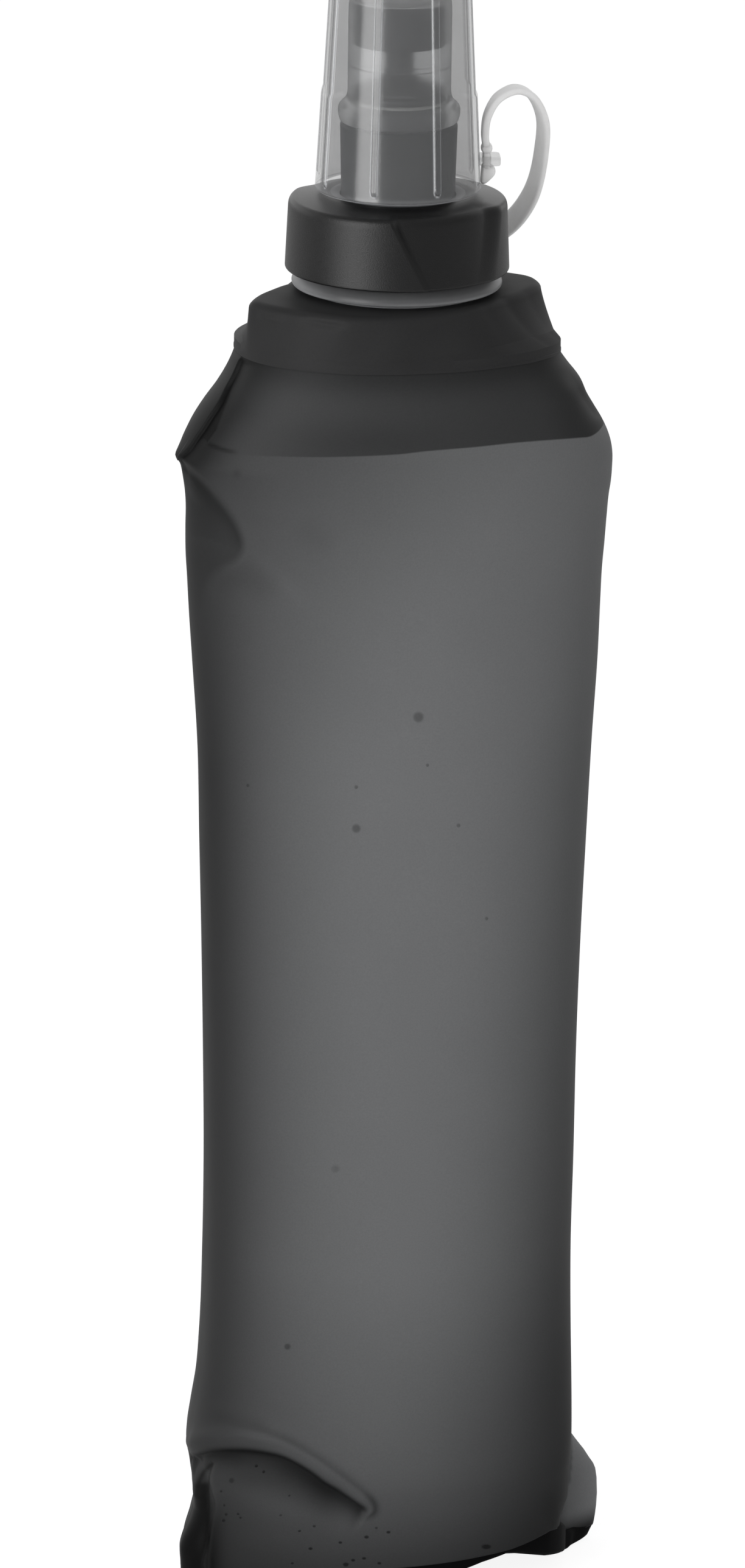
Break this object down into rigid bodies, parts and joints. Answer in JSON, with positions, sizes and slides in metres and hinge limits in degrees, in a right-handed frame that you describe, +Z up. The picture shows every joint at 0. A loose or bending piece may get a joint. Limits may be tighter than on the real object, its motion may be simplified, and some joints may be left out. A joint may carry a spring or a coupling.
{
  "type": "collapsible water bottle",
  "caption": "Soft-walled collapsible water bottle with a moulded base and shoulder, screw collar, push-pull mouthpiece and tethered clear dust cap.",
  "frame": {"origin": "on the floor under the middle of the base cup, on the axis of the neck", "axes": "+Z up along the bottle, X along the width of the flat body, Y along its depth; the pictured front faces -Y"},
  "size_m": [0.1, 0.06, 0.3783],
  "materials": {
    "smoke_film": "soft smoke-grey see-through film with a satin sheen",
    "black_moulding": "satin black moulding",
    "black_texture": "fine spark-eroded black texture",
    "natural_hard": "hard milky plastic",
    "seal_rubber": "pale silicone rubber",
    "spout_grey": "satin dark grey moulding",
    "stem_grey": "satin dark grey moulding",
    "frosted_sleeve": "frosted see-through soft plastic",
    "clear_cap": "clear moulding with fine ribs",
    "natural_strap": "milky see-through flexible moulding"
  },
  "bodies": {
    "root": {"base_cup": "black_moulding", "body_film": "smoke_film"},
    "top": {"shoulder": "black_moulding", "neck_insert": "natural_hard"},
    "seal_lift": {"neck_gasket": "seal_rubber"},
    "cap": {"collar": "black_texture", "spout_base": "spout_grey", "valve_stem": "stem_grey", "mouthpiece_o_ring": "seal_rubber", "tether_strap": "natural_strap"},
    "mouthpiece": {"mouthpiece": "frosted_sleeve"},
    "dust_cap": {"dust_cap": "clear_cap"}
  },
  "joints": [
    {"name": "collapse", "type": "slide", "parent": "root", "child": "top", "axis": [0, 0, -1], "range_m": [0, 0.183], "deforming": ["body_film"]},
    {"name": "cap_lift", "type": "slide", "parent": "top", "child": "seal_lift", "axis": [0, 0, 1], "range_m": [0, 0.0052]},
    {"name": "cap_turn", "type": "hinge", "parent": "seal_lift", "child": "cap", "pos_m": [0, 0, 0.3103], "axis": [0, 0, 1], "range_deg": [0, 450]},
    {"name": "mouthpiece_pull", "type": "slide", "parent": "cap", "child": "mouthpiece", "axis": [0, 0, 1], "range_m": [0, 0.0035]},
    {"name": "dust_cap_pull", "type": "slide", "parent": "cap", "child": "dust_cap", "axis": [0, 0, 1], "range_m": [0, 0.052], "deforming": ["tether_strap"]}
  ],
  "couplings": [
    {"joint": "cap_lift", "follows": "cap_turn", "m_per_rad": 0.00063662}
  ]
}
